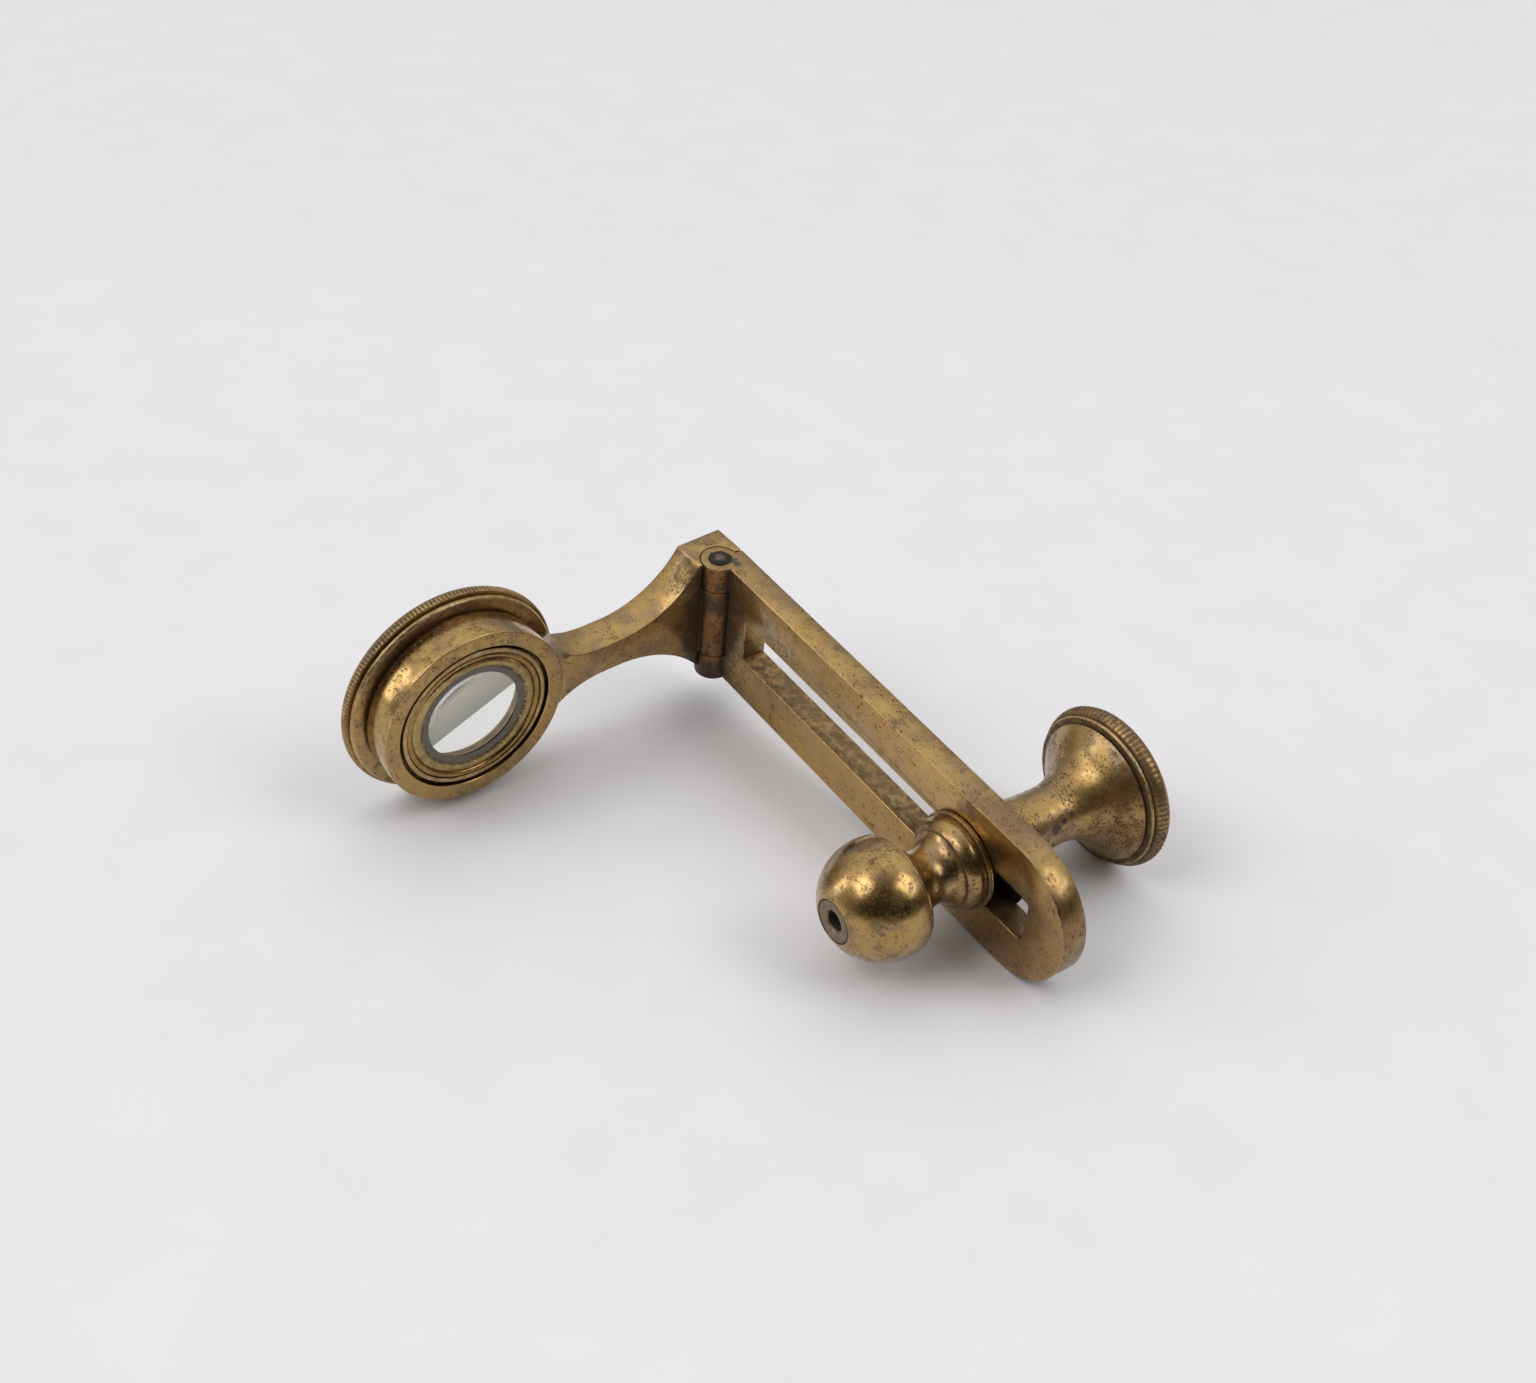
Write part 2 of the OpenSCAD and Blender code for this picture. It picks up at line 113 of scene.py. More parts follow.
table_half = 1.5
table_mesh = bpy.data.meshes.new("table")
table = bpy.data.objects.new("table", table_mesh)
scene.collection.objects.link(table)
shape = bmesh.new()
bmesh.ops.create_grid(shape, x_segments=1, y_segments=1, size=table_half)
bmesh.ops.transform(shape, matrix=Matrix.Translation(table_place) @ table_turn, verts=shape.verts)
shape.to_mesh(table_mesh)
shape.free()

# %% [markdown]
# Brass is judged by what it mirrors, so the lamps stand where the highlights on the ball and on the ring
# say they stood: one soft box over the left shoulder, a low narrow one beside it and one on the right. Each
# is an area lamp. Its brightness is its power over pi times its area, so a brightness of about 2.7 becomes
# watts by multiplying it with these.

# %% Three soft boxes
def soft_box(name, azimuth, elevation, width, height, brightness, away=2.0):
    """An area lamp, sized in metres, that faces the instrument from a direction over the table."""
    level = math.cos(math.radians(elevation))
    direction = Vector((
        level * math.cos(math.radians(azimuth)),
        level * math.sin(math.radians(azimuth)),
        math.sin(math.radians(elevation)),
    ))
    direction = table_turn.to_3x3() @ direction
    lamp = bpy.data.lights.new(name, "AREA")
    lamp.shape = "RECTANGLE"
    lamp.size = width
    lamp.size_y = height
    lamp.energy = brightness * math.pi * width * height
    stand = bpy.data.objects.new(name, lamp)
    scene.collection.objects.link(stand)
    turn_to_centre = (-direction).to_track_quat("-Z", "Y").to_matrix().to_4x4()
    stand.matrix_world = Matrix.Translation(direction * away) @ turn_to_centre
    print(name, round(lamp.energy, 2), "W")


soft_box("left_soft_box", azimuth=-98, elevation=50, width=1.08, height=1.00, brightness=2.7)
soft_box("low_soft_box", azimuth=-131, elevation=19, width=0.48, height=1.16, brightness=2.6)
soft_box("right_soft_box", azimuth=38, elevation=46, width=1.00, height=1.24, brightness=2.7)

# %% [markdown]
# Shader maths reads badly as a list of nodes and links. One small class wraps a node's output and lets
# Python's own signs add the Math nodes. A second one holds a node tree and has one method that adds any
# node.

# %% Shader maths as plain expressions
class Socket:
    """One output of a node, with signs that add Math nodes."""

    def __init__(self, tree, output):
        self.tree = tree
        self.output = output

    def maths(self, operation, *values):
        return self.tree.node("ShaderNodeMath", {"operation": operation}, dict(enumerate(values)))

    def __add__(self, other):
        return self.maths("ADD", self, other)

    def __radd__(self, other):
        return self.maths("ADD", other, self)

    def __sub__(self, other):
        return self.maths("SUBTRACT", self, other)

    def __rsub__(self, other):
        return self.maths("SUBTRACT", other, self)

    def __mul__(self, other):
        return self.maths("MULTIPLY", self, other)

    def __rmul__(self, other):
        return self.maths("MULTIPLY", other, self)

    def larger(self, other):
        return self.maths("MAXIMUM", self, other)

    def size(self):
        """The value without its sign."""
        return self.maths("ABSOLUTE", self)


class Tree:
    """The node tree of a material or of the world."""

    def __init__(self, owner):
        owner.use_nodes = True
        self.tree = owner.node_tree
        self.tree.nodes.clear()

    def node(self, kind, settings=None, sockets=None, output=0):
        """Adds a node: its settings first, then the values or links of its sockets. Gives one output."""
        made = self.tree.nodes.new(kind)
        for name, value in (settings or {}).items():
            setattr(made, name, value)
        for name, value in (sockets or {}).items():
            if isinstance(value, Socket):
                self.tree.links.new(value.output, made.inputs[name])
            else:
                made.inputs[name].default_value = value
        return Socket(self, made.outputs[output]) if len(made.outputs) else made

    def vectors(self, operation, *values, output=0):
        """A Vector Math node. Where it works out a number, that comes out of its output "Value"."""
        return self.node("ShaderNodeVectorMath", {"operation": operation}, dict(enumerate(values)), output)

    def spread(self, value, low, high, to_low=0.0, to_high=1.0):
        """A soft step between two levels, taken while the value goes from low to high."""
        sockets = {"Value": value, "From Min": low, "From Max": high, "To Min": to_low, "To Max": to_high}
        return self.node("ShaderNodeMapRange", {"interpolation_type": "SMOOTHSTEP"}, sockets)


# %% [markdown]
# The rest of the room is pale overhead and behind the knob, and dark on the camera's side. That dark side
# is what the ball shows between its highlights. Without it the brass would look like plastic, because a
# metal shows nothing but what is round it.

# %% Room light by direction
world = bpy.data.worlds.new("room")
scene.world = world
room = Tree(world)
direction = room.node("ShaderNodeTexCoord", output="Generated")
dark_azimuth = math.radians(-16)
dark_rise = 0.12
dark_side = table_turn.to_3x3() @ Vector((math.cos(dark_azimuth), math.sin(dark_azimuth), dark_rise))
towards_dark = room.vectors("DOT_PRODUCT", direction, dark_side, output="Value")
height = room.vectors("DOT_PRODUCT", direction, table_up, output="Value")
level = room.spread(towards_dark, -0.15, 0.6, 1.0, 0.06) * room.spread(height, 0.1, 0.95, 0.34, 1.15)
grey = room.node("ShaderNodeCombineColor", None, {0: level, 1: level, 2: level})
background = room.node("ShaderNodeBackground", None, {"Color": grey, "Strength": 1.0})
room.node("ShaderNodeOutputWorld", None, {"Surface": background})

# %% [markdown]
# Every finish starts the same way: a material, the place on the piece in millimetres and a Principled
# shader. Patterns read Object coordinates. A Mapping node of the texture kind turns them back into the axes
# of the piece, so that marks run round a turned piece and along a filed one. Blender's noise keeps to the
# middle of its range, so its usual levels are spread out to 0 and 1.

# %% Base of every finish
NOISE_LOW = 0.28
NOISE_HIGH = 0.72


class Finish(Tree):
    """A material whose patterns are measured in millimetres from the piece's own axes."""

    def __init__(self, name, axes=bar_axes):
        self.material = bpy.data.materials.new(name)
        super().__init__(self.material)
        own_axes = {"Location": axes.translation, "Rotation": axes.to_euler(), "Scale": (MM, MM, MM)}
        own_axes["Vector"] = self.node("ShaderNodeTexCoord", output="Object")
        self.place = self.node("ShaderNodeMapping", {"vector_type": "TEXTURE"}, own_axes)
        self.x = self.node("ShaderNodeSeparateXYZ", None, {0: self.place}, "X")
        self.y = self.node("ShaderNodeSeparateXYZ", None, {0: self.place}, "Y")
        self.z = self.node("ShaderNodeSeparateXYZ", None, {0: self.place}, "Z")
        self.radius = self.vectors("LENGTH", self.stretched(1, 1, 0), output="Value")

    def stretched(self, x, y, z):
        """The place, scaled by a factor along each axis, which draws a pattern out into lines."""
        return self.vectors("MULTIPLY", self.place, (x, y, z))

    def noise(self, size, detail=4, roughness=0.6, where=None, shift=0.0):
        """Cloudy noise with blotches of about the size given. Another shift gives other blotches."""
        moved = self.vectors("ADD", where or self.place, (shift, shift * 0.7, -shift))
        sockets = {"Vector": moved, "Scale": 1 / size, "Detail": detail, "Roughness": roughness}
        return self.spread(self.node("ShaderNodeTexNoise", None, sockets, "Fac"), NOISE_LOW, NOISE_HIGH)

    def mix(self, amount, first, second):
        """Two colours mixed by an amount. A Mix node has its colours at 6 and 7, and gives one at 2."""
        first, second = [value if isinstance(value, Socket) else (*value, 1) for value in (first, second)]
        return self.node("ShaderNodeMix", {"data_type": "RGBA"}, {0: amount, 6: first, 7: second}, 2)

    def spot(self, centre, size, ragged):
        """A stain round a point, with a ragged edge."""
        away = self.vectors("DISTANCE", self.place, centre, output="Value")
        return 1 - self.spread(away + ragged * size, 0.7 * size, 1.35 * size)

    def ring(self, value, centre, width):
        """1 where a value is near the centre, fading over the width."""
        return 1 - self.spread((value - centre).size(), 0.4 * width, width)

    def attribute(self, name):
        """A mark that a mesh carries, such as worn or valley, and 0 where it carries none."""
        return self.node("ShaderNodeAttribute", {"attribute_name": name}, None, "Fac")

    def relief(self, height, depth, strength=0.5):
        """A Bump node whose heights, from 0 to 1, are as deep as the millimetres given."""
        sockets = {"Strength": strength, "Distance": depth * MM, "Height": height}
        return self.node("ShaderNodeBump", None, sockets)

    def surface(self, **sockets):
        """The Principled shader and the output, with socket names written with underscores."""
        values = {name.replace("_", " "): value for name, value in sockets.items()}
        shader = self.node("ShaderNodeBsdfPrincipled", None, values)
        self.node("ShaderNodeOutputMaterial", None, {"Surface": shader})
        return self.material


# %% [markdown]
# The brass was lacquered once and is two centuries old. It still mirrors, but a thin brown tarnish lies
# over it in clouds, with reddish freckles, black pits, dirt in some corners and painted shade in others, and
# fine marks left by the file or the lathe. A single colour with noise on it looks like paint, so each of
# these is a mask of its own. All the masks are made of a few noises, from clouds as wide as a finger down
# to dots.

# %% Colours and noises of old brass
GOLDEN = (0.415, 0.262, 0.084)
BROWN = (0.265, 0.155, 0.058)
ROSY = (0.235, 0.152, 0.088)
OLIVE = (0.185, 0.130, 0.048)
UMBER = (0.095, 0.042, 0.021)
# FRONT_BRIGHT is partly cleaner brass and partly painted sheen on the bar's front face.
FRONT_BRIGHT = (0.60, 0.365, 0.115)
PALE = (0.74, 0.57, 0.30)
# NEAR_BLACK colours the black pits and stains, and the painted shade inside the needle hole.
NEAR_BLACK = (0.020, 0.015, 0.012)
# GREEN_GREY is a colour of dirt, and of the painted shade round the lens ring and the hinge.
GREEN_GREY = (0.075, 0.066, 0.045)
RUST = (0.34, 0.160, 0.052)


class OldBrass(Finish):
    """A finish with the noises of old brass, and with file marks along x or lathe marks round the z axis."""

    def __init__(self, name, axes, lay):
        super().__init__(name, axes)
        self.clouds = self.noise(7.0, 3, 0.5)
        self.patches = self.noise(1.1, 6, 0.7, shift=7.3)
        self.specks = self.noise(0.33, 4, 0.75, shift=3.1)
        self.dots = self.noise(0.22, 2, 0.6, shift=21.0)
        self.waves = self.noise(1.9, 2, 0.4, shift=33.0)
        if lay == "turned":
            across = {"X": self.radius * 7 + self.x * 0.1, "Y": self.z * 7, "Z": self.y * 0.1}
            drawn_out = self.node("ShaderNodeCombineXYZ", None, across)
        else:
            drawn_out = self.stretched(0.12, 8, 8)
        self.lines = self.noise(1.0, 4, 0.7, where=drawn_out)


# %% [markdown]
# The tarnish comes first, then the places where it is gone. The bar's front is lightened, partly as cleaner
# brass and partly as painted sheen, less so towards its round end, where the metal is browner. Corners that a
# mesh marks as worn are the palest of all.

# %% Tarnish, wear and painted sheen
def tarnish(work, tone, browner):
    """The metal under its brown clouds, rosy bloom and olive patches, and the mask of the bloom."""
    cloudy = work.clouds + (work.patches - 0.5) * 0.55 + (work.lines - 0.5) * 0.3
    if browner:
        cloudy = cloudy + work.spread(work.x, *browner) * 0.85
    metal = work.mix(work.spread(cloudy, 0.95 - tone, 1.65 - tone), GOLDEN, BROWN)
    bloom = work.noise(3.2, 4, 0.6, shift=13.0) + (work.specks - 0.5) * 0.3
    rosy = work.spread(bloom, 0.35, 0.95) * (0.4 + tone * 0.6)
    metal = work.mix(rosy, metal, ROSY)
    greenish = work.spread(work.patches * 0.8 + work.specks * 0.4, 0.75, 1.15) * 0.5
    return work.mix(greenish, metal, OLIVE), rosy


def brighten_front(work, metal):
    """Lightens the front at y = 0, from the hinge on, less near the round end: partly cleaner brass, partly
    painted sheen.
    """
    front = (1 - work.spread(work.y, 0.02, 0.1)) * work.spread(work.x, 7.0, 18.0)
    return work.mix(front * work.spread(work.x, 40.0, 52.0, 0.75, 0.3), metal, FRONT_BRIGHT)


def freckle(work, metal, freckles):
    """Adds reddish freckles and bares the worn corners. Gives the mask of the freckles too."""
    freckled = work.specks * 0.8 + work.patches * 0.3 + work.clouds * 0.15
    freckled = work.spread(freckled, 1.0 - 0.25 * freckles, 1.1 - 0.25 * freckles)
    metal = work.mix(freckled * 0.8, metal, UMBER)
    worn = work.attribute("worn") * work.spread(work.patches + work.lines * 0.5, 0.6, 1.1)
    return work.mix(worn * 0.5, metal, PALE), freckled


# %% [markdown]
# Dirt is of two kinds. Pits and stains are black and lie anywhere. Brown dirt lies between the teeth of the
# milling, on the slot's walls and round the hinge, and darker rings run along the grooves and steps of a
# turned piece. In the groove and the gap between the lens ring and its cell these rings are painted shade,
# mixed with patchy dirt. The hinge's pin is iron, so its rust has crept over the knuckles and shows where
# they bulge and are wiped, and a dark halo spreads from it over the plate, partly grease and dust and
# partly painted shadow of the barrel, weaker on the top face.

# %% Dirt, and painted shade in corners
def pits_and_stains(work, pits, marks):
    """Black pits all over and a stain at each mark, which is a point, a size and a depth."""
    pitted = work.dots * 0.75 + work.noise(3.0, 3, 0.5, shift=5.0) * 0.35
    dirt = work.spread(pitted, 0.99 - 0.12 * pits, 1.03 - 0.12 * pits)
    for centre, size, depth in marks:
        dirt = dirt.larger(work.spot(centre, size, work.patches + work.specks - 1) * depth)
    return dirt


def film_and_shade_in_grooves(work, dark_rings):
    """Dirt between the teeth, and dark rings, each a height, a width and a depth; round the lens ring,
    painted shade.
    """
    film_and_shade = work.attribute("valley") * work.spread(work.specks, 0.0, 0.6, 0.8, 1.0)
    for centre, width, depth in dark_rings:
        patchy = work.spread(work.patches, 0.1, 0.7, 0.45, 1.0)
        film_and_shade = film_and_shade.larger(work.ring(work.z, centre, width) * patchy * depth)
    return film_and_shade


def film_in_slot(work, film_and_shade, half_width, end):
    """Adds the dirt on the slot's long walls."""
    walls = work.ring(work.z.size(), half_width, 0.14) * work.spread(work.y, 0.05, 0.3)
    walls = walls * (1 - work.spread(work.x, end - 0.3, end))
    return film_and_shade.larger(walls * work.spread(work.patches, 0.1, 0.7, 0.3, 0.65))


def film_and_shade_round_hinge(work, film_and_shade, barrel):
    """Adds the dirt on a barrel of a radius and a halo round it, partly painted shadow, and gives the mask of
    rust on it.
    """
    jagged = work.patches - 0.5
    below_top = 1 - work.spread(work.z + jagged * 0.2, 7.6, 7.9)
    near_pin = 1 - work.spread(work.radius + jagged * 0.2, barrel - 0.1, barrel + 0.2)
    # The halo is partly grease and dust and partly painted shadow of the barrel, stronger below the top face.
    halo = 1 - work.spread(work.radius + jagged * 5, barrel, barrel + 5.0)
    head_rim = 1 - work.spread(work.radius + jagged * 0.7, 1.1, 1.5)
    film_and_shade = film_and_shade.larger(near_pin * (0.2 + below_top * 0.8)).larger(halo * (0.1 + below_top * 0.75))
    film_and_shade = film_and_shade.larger(head_rim)
    outward = (work.x - work.y) * 0.707 + (work.specks - 0.5) * 0.2
    bulge = work.spread(outward, 0.76 * barrel, 0.88 * barrel)
    wiped = bulge * work.spread(work.z, -6.2, -4.8) * (1 - work.ring(work.z, 3.0, 1.8) * 0.8)
    return film_and_shade, work.spread(work.specks * 0.6 + work.patches, 0.45, 0.85) * wiped * near_pin


# %% [markdown]
# The same masks drive colour, roughness and bump together, because on the real thing a freckle is also
# duller than the metal. What is left of the lacquer is a coat, which gives the highlights their pale
# middle.

# %% Tarnished brass
def brass(
    name, axes, lay="long", tone=0.5, freckles=0.5, pits=0.5, dull=0.25, dark_rings=(), marks=(),
    barrel=0.0, slot=None, browner=None, bright_front=False,
):
    """Old brass. The barrel is a radius round the hinge, and browner tells where along x it turns browner."""
    work = OldBrass(name, axes, lay)
    metal, rosy = tarnish(work, tone, browner)
    if bright_front:
        metal = brighten_front(work, metal)
    metal, freckled = freckle(work, metal, freckles)

    dirt = pits_and_stains(work, pits, marks)
    film_and_shade = film_and_shade_in_grooves(work, dark_rings)
    if slot:
        film_and_shade = film_in_slot(work, film_and_shade, *slot)
    # This mix colours the brown dirt, and also the painted shade round the lens ring and round the hinge.
    stain = work.mix(work.patches, UMBER, GREEN_GREY)
    if barrel:
        film_and_shade, rusty = film_and_shade_round_hinge(work, film_and_shade, barrel)
        metal = work.mix(film_and_shade, metal, work.mix(rusty, stain, RUST))
    else:
        metal = work.mix(film_and_shade * 0.85, metal, stain)
    metal = work.mix(dirt * 0.94, metal, work.mix(work.patches, NEAR_BLACK, UMBER))

    rough = dull + work.patches * 0.13 + rosy * 0.06 + work.lines * 0.07
    rough = rough + freckled * 0.14 + film_and_shade * 0.18 + dirt * 0.25
    height = work.lines * 0.2 + work.waves * 0.9 - freckled * 0.5 - dirt * 0.9 + film_and_shade * work.specks * 0.8
    lacquer = work.spread(work.patches + work.clouds * 0.3, 0.3, 1.0, 0.6, 0.15) * (1 - film_and_shade)
    return work.surface(
        Base_Color=metal, Metallic=1 - dirt * 0.5 - film_and_shade * 0.3, Roughness=rough,
        Normal=work.relief(height, 0.022), Coat_Weight=lacquer, Coat_Roughness=0.13,
    )


# %% [markdown]
# A turned piece starts as half its outline, drawn in the plane of the lathe: x is the radius and z the
# height. The outline could be a list of worked-out points, but a small pen that extrudes a vertex for a
# straight line and spins it for a curve reads like the drawing. Corners are eased at once, while they are
# only single vertices: no corner on real metal is perfectly sharp, and the thin line of light on it is what
# makes it look solid.

# %% A pen that draws outlines
class Pen:
    """Draws a wire in the plane of x and z, in millimetres."""

    def __init__(self, x, z):
        self.shape = bmesh.new()
        self.tip = self.shape.verts.new((x, 0, z))
        self.first = self.tip
        self.eased = {}

    def line(self, x, z, ease=0.0):
        """A straight line to the point x, z, whose corner may be eased by a width."""
        made = bmesh.ops.extrude_vert_indiv(self.shape, verts=[self.tip])
        self.tip = made["verts"][0]
        self.tip.co = (x, 0, z)
        return self.mark(ease)

    def curve(self, x, z, centre_x, centre_z, steps=12, ease=0.0):
        """An arc about a centre to the point x, z, the short way round."""
        start = math.atan2(self.tip.co.x - centre_x, self.tip.co.z - centre_z)
        end = math.atan2(x - centre_x, z - centre_z)
        angle = (end - start + math.pi) % (2 * math.pi) - math.pi
        arc = {"cent": (centre_x, 0, centre_z), "axis": (0, 1, 0), "angle": angle, "steps": steps}
        made = bmesh.ops.spin(self.shape, geom=[self.tip], **arc)
        self.tip = made["geom_last"][0]
        self.tip.co = (x, 0, z)
        return self.mark(ease)

    def close(self, ease=0.0):
        """A straight line back to the start."""
        self.shape.edges.new((self.tip, self.first))
        self.tip = self.first
        return self.mark(ease)

    def mark(self, ease):
        """Remembers a corner that is to be eased, and gives the pen back for the next stroke."""
        if ease:
            self.eased.setdefault(ease, []).append(self.tip)
        return self

    def ease_corners(self):
        """Rounds the marked corners and gives the finished wire."""
        for width, corners in self.eased.items():
            bevel = {"offset": width, "offset_type": "OFFSET", "segments": 3, "profile": 0.5}
            bmesh.ops.bevel(self.shape, geom=corners, affect="VERTICES", material=-1, **bevel)
        self.eased = {}
        return self.shape


# %% [markdown]
# Old brass shines first along its edges. A narrow face that bends round a corner is marked as worn, once,
# for every piece, and the brass finish reads that mark. A face attribute keeps the shine on the corner
# alone, where a vertex attribute would bleed over the whole flat beside it.

# %% Finish a mesh and hand it over
def mark_worn_corners(shape, narrow=0.2, bent=0.15):
    """Marks the faces under a width, in millimetres, that lie between two outward bends, in radians."""
    worn = shape.faces.layers.float.new("worn")
    shape.normal_update()
    for face in shape.faces:
        outward = [edge for edge in face.edges if edge.calc_face_angle_signed(0.0) > bent]
        width = face.calc_area() / max(edge.calc_length() for edge in face.edges)
        face[worn] = 1.0 if len(outward) >= 2 and width < narrow else 0.0


def finish_piece(shape, name, body, material, stands_for, axes, sharp=32):
    """Makes the object from a mesh in millimetres, at its place in metres."""
    mark_worn_corners(shape)
    bmesh.ops.transform(shape, matrix=axes @ Matrix.Scale(MM, 4), verts=shape.verts)
    mesh = bpy.data.meshes.new(name)
    shape.to_mesh(mesh)
    shape.free()
    mesh.polygons.foreach_set("use_smooth", [True] * len(mesh.polygons))
    mesh.set_sharp_from_angle(angle=math.radians(sharp))
    mesh.materials.append(material)
    piece = bpy.data.objects.new(name, mesh)
    scene.collection.objects.link(piece)
    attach(piece, body)
    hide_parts(*stands_for)
    print(name, len(mesh.polygons), "faces")


def turn(pen, steps=128):
    """Spins the pen's wire once round the lathe's axis and closes the poles."""
    shape = pen.ease_corners()
    once = {"cent": (0, 0, 0), "axis": (0, 0, 1), "angle": 2 * math.pi, "steps": steps, "use_merge": True}
    bmesh.ops.spin(shape, geom=list(shape.verts) + list(shape.edges), **once)
    bmesh.ops.remove_doubles(shape, verts=shape.verts, dist=1e-5)
    bmesh.ops.recalc_face_normals(shape, faces=shape.faces)
    return shape


# %% [markdown]
# The bar is filed from plate and slotted. Its knuckles curl into it and make room for the arm's, which is a
# shape of crossing cuts, so it is taken from its solid instead of being built again. The solid's mesh is
# loose triangles: a copy is merged, its flat faces are joined, and then its sharp edges can be bevelled.

# %% Copy a solid and ease its edges
def eased_copy(node, width, axes, bend=28, flat=0.4):
    """A merged copy of a solid, in millimetres on its own axes, with its edges rounded."""
    shape = bmesh.new()
    shape.from_mesh(solids[node].data)
    bmesh.ops.transform(shape, matrix=Matrix.Scale(1 / MM, 4) @ axes.inverted(), verts=shape.verts)
    bmesh.ops.remove_doubles(shape, verts=shape.verts, dist=0.002)
    flats = {"verts": shape.verts, "edges": shape.edges, "angle_limit": math.radians(flat)}
    bmesh.ops.dissolve_limit(shape, use_dissolve_boundaries=False, **flats)
    sharp = [edge for edge in shape.edges if edge.calc_face_angle(0.0) > math.radians(bend)]
    bevel = {"offset": width, "offset_type": "OFFSET", "segments": 2, "profile": 0.5, "loop_slide": True}
    bmesh.ops.bevel(shape, geom=sharp, affect="EDGES", material=-1, **bevel)
    print(node, len(sharp), "edges eased")
    return shape


# %% [markdown]
# The bar has been wiped for years and is the cleanest piece, with a few dark smudges on its upper edge and
# beside the disc, where fingers don't reach. Old dirt has stayed on the walls of its slot.

# %% Slotted bar
barrel_radius = 2.2
slot_half, slot_end = 2.7, 53.6
bar_marks = [
    ((30.8, 0.5, 8.0), 0.4, 0.5),
    ((31.4, 0.0, 8.0), 0.3, 0.5),
    ((43.9, 0.0, 7.0), 0.8, 0.65),
    ((42.6, 0.0, 6.2), 0.6, 0.35),
    ((25.9, -0.1, 8.0), 0.25, 0.8),
    ((1.0, 1.0, 8.0), 0.5, 0.9),
    ((1.8, 1.2, 8.0), 0.4, 0.85),
    ((18.8, 2.2, 8.0), 0.35, 0.6),
]
# The bar's front face is lightened, partly as cleaner brass and partly as painted sheen, and the halo round
# the hinge is partly painted shadow of the barrel.
bar_brass = brass(
    "bar_brass", bar_axes, tone=0.25, freckles=0.5, pits=0.6, dull=0.22, marks=bar_marks,
    barrel=barrel_radius, slot=(slot_half, slot_end), browner=(26, 50), bright_front=True,
)
finish_piece(
    eased_copy("slotted_bar", 0.08, bar_axes), "slotted_bar_dressed", "bar",
    bar_brass, ["slotted_bar"], bar_axes,
)

# %% [markdown]
# The arm was cut from the same plate and has many black specks. Its upper shoulder is bright where it
# mirrors the lamps.

# %% Lens arm
arm_marks = [
    ((-0.1, -15.0, 0.3), 0.35, 0.5),
    ((-0.1, -3.2, 2.6), 0.9, 0.55),
    ((-0.1, -2.6, -3.5), 1.0, 0.4),
    ((-0.1, -19.9, 3.3), 0.4, 0.8),
    ((-0.1, -19.7, -2.0), 0.3, 0.7),
]
# Round the hinge the arm's halo is partly painted shadow of the barrel.
arm_brass = brass(
    "arm_brass", arm_axes, tone=0.48, freckles=0.52, pits=0.8, dull=0.2, marks=arm_marks,
    barrel=barrel_radius,
)
finish_piece(
    eased_copy("lens_arm", 0.08, arm_axes), "lens_arm_dressed", "arm",
    arm_brass, ["lens_arm"], arm_axes,
)

# %% [markdown]
# The ring is a short turned tube, brazed into the arm. Only its corners need more than a plain tube has.

# %% Lens ring
ring_bore, ring_radius, ring_depth = 9.0, 10.75, 3.8
pen = Pen(ring_bore, 0.0)
pen.line(ring_radius, 0.0, ease=0.1).line(ring_radius, ring_depth, ease=0.1)
pen.line(ring_bore, ring_depth, ease=0.1).close(ease=0.1)
# The dark ring at the tube's back end is painted shade, in the groove against the cell's flange.
ring_brass = brass(
    "ring_brass", lens_axes, "turned", tone=0.25, freckles=0.38, pits=0.5, dull=0.07,
    dark_rings=[(ring_depth, 0.3, 0.8)],
)
finish_piece(turn(pen, 160), "lens_ring_turned", "arm", ring_brass, ["lens_ring"], lens_axes)

# %% [markdown]
# The lens cell screws into the ring. Its edge is milled, so that wet fingers can turn it. The milling is
# cut across the rim by a wheel, which could be shown by bump, but the teeth stand out against the table, so
# they are real. The piece is spun with two steps to a tooth, and every other step is pushed in to form the
# valley. A mark on the valley's points lets the finish fill it with old dirt, without which the teeth would
# vanish at this distance.

# %% Milled edge
def mill(shape, teeth, low, high, depth, beyond):
    """Pushes in the valleys between the teeth, in the band between two heights and beyond a radius."""
    valley = shape.verts.layers.float.new("valley")
    rows = {}
    for vert in shape.verts:
        tooth = math.atan2(vert.co.y, vert.co.x) / (2 * math.pi) * teeth
        in_valley = abs(tooth - math.floor(tooth) - 0.5) < 0.2
        if in_valley and low < vert.co.z < high and vert.co.xy.length > beyond:
            rows.setdefault(round(vert.co.z, 3), []).append(vert)
            vert[valley] = 1.0
    for row in rows.values():
        radius = row[0].co.xy.length
        shrink = (radius - depth) / radius
        bmesh.ops.scale(shape, vec=(shrink, shrink, 1), verts=row)
    print(teeth, "teeth in", len(rows), "rows")
    return shape


# %% [markdown]
# The wire below is the cell's section. Each comment says what the next stroke draws.

# %% Lens cell
cell_teeth = 176
pen = Pen(6.0, 2.618)
# The seat of the glass, the front bore and the nose
pen.line(7.35, 2.618).line(7.35, 1.05).line(8.1, 1.05).line(8.1, 0.15, ease=0.06).line(8.6, 0.15, ease=0.1)
# The thread and the dark groove
pen.line(8.6, 1.0).line(8.95, 1.0).line(8.95, 3.9).line(10.3, 3.9).line(10.3, 4.3).line(11.959, 4.3)
# The bead
pen.curve(12.2, 4.675, 11.7875, 4.675, 4).curve(11.959, 5.05, 11.7875, 4.675, 4)
